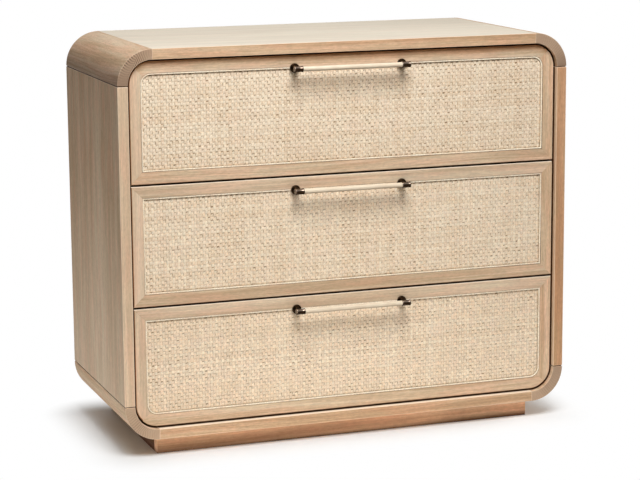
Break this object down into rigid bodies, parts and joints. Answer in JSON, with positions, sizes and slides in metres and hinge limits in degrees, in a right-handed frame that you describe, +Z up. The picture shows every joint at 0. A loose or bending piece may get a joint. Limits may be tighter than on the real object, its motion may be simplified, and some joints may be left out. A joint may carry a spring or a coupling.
{
  "type": "chest of drawers",
  "caption": "Low oak chest with quarter-round corner pieces, a recessed plinth and sliding drawers faced with woven cane and bar pulls.",
  "frame": {"origin": "on the floor, under the middle of the bounding box", "axes": "+X to the right along the width seen from the front, +Y from the drawer fronts to the back, +Z up"},
  "size_m": [0.9, 0.4198, 0.768],
  "materials": {
    "washed_oak": "white-washed oak, matt oil",
    "plinth_oak": "warmer oak, matt",
    "woven_cane": "natural close-woven rattan",
    "cane_bead": "pale peeled rattan",
    "drawer_birch": "clear matt lacquer",
    "dark_bronze": "oil-rubbed dark bronze",
    "pale_rod": "cream satin lacquer"
  },
  "bodies": {
    "carcass": {"top_board": "washed_oak", "bottom_board": "washed_oak", "left_side_board": "washed_oak", "right_side_board": "washed_oak", "top_left_corner": "washed_oak", "top_right_corner": "washed_oak", "bottom_left_corner": "washed_oak", "bottom_right_corner": "washed_oak", "back_panel": "drawer_birch", "plinth_front_board": "plinth_oak", "plinth_left_board": "plinth_oak", "plinth_right_board": "plinth_oak", "bottom_left_runner": "drawer_birch", "bottom_right_runner": "drawer_birch", "middle_left_runner": "drawer_birch", "middle_right_runner": "drawer_birch", "top_left_runner": "drawer_birch", "top_right_runner": "drawer_birch"},
    "bottom_drawer": {"bottom_drawer_front_board": "washed_oak", "bottom_drawer_top_rail": "washed_oak", "bottom_drawer_bottom_rail": "washed_oak", "bottom_drawer_left_stile": "washed_oak", "bottom_drawer_right_stile": "washed_oak", "bottom_drawer_cane_panel": "woven_cane", "bottom_drawer_bead": "cane_bead", "bottom_drawer_left_side": "drawer_birch", "bottom_drawer_right_side": "drawer_birch", "bottom_drawer_back": "drawer_birch", "bottom_drawer_bottom": "drawer_birch", "bottom_drawer_pull_rod": "pale_rod", "bottom_drawer_pull_left_end": "dark_bronze", "bottom_drawer_pull_right_end": "dark_bronze"},
    "middle_drawer": {"middle_drawer_front_board": "washed_oak", "middle_drawer_top_rail": "washed_oak", "middle_drawer_bottom_rail": "washed_oak", "middle_drawer_left_stile": "washed_oak", "middle_drawer_right_stile": "washed_oak", "middle_drawer_cane_panel": "woven_cane", "middle_drawer_bead": "cane_bead", "middle_drawer_left_side": "drawer_birch", "middle_drawer_right_side": "drawer_birch", "middle_drawer_back": "drawer_birch", "middle_drawer_bottom": "drawer_birch", "middle_drawer_pull_rod": "pale_rod", "middle_drawer_pull_left_end": "dark_bronze", "middle_drawer_pull_right_end": "dark_bronze"},
    "top_drawer": {"top_drawer_front_board": "washed_oak", "top_drawer_top_rail": "washed_oak", "top_drawer_bottom_rail": "washed_oak", "top_drawer_left_stile": "washed_oak", "top_drawer_right_stile": "washed_oak", "top_drawer_cane_panel": "woven_cane", "top_drawer_bead": "cane_bead", "top_drawer_left_side": "drawer_birch", "top_drawer_right_side": "drawer_birch", "top_drawer_back": "drawer_birch", "top_drawer_bottom": "drawer_birch", "top_drawer_pull_rod": "pale_rod", "top_drawer_pull_left_end": "dark_bronze", "top_drawer_pull_right_end": "dark_bronze"}
  },
  "joints": [
    {"name": "bottom_drawer_slide", "type": "slide", "parent": "carcass", "child": "bottom_drawer", "axis": [0, -1, 0], "range_m": [0, 0.24]},
    {"name": "middle_drawer_slide", "type": "slide", "parent": "carcass", "child": "middle_drawer", "axis": [0, -1, 0], "range_m": [0, 0.24]},
    {"name": "top_drawer_slide", "type": "slide", "parent": "carcass", "child": "top_drawer", "axis": [0, -1, 0], "range_m": [0, 0.24]}
  ]
}
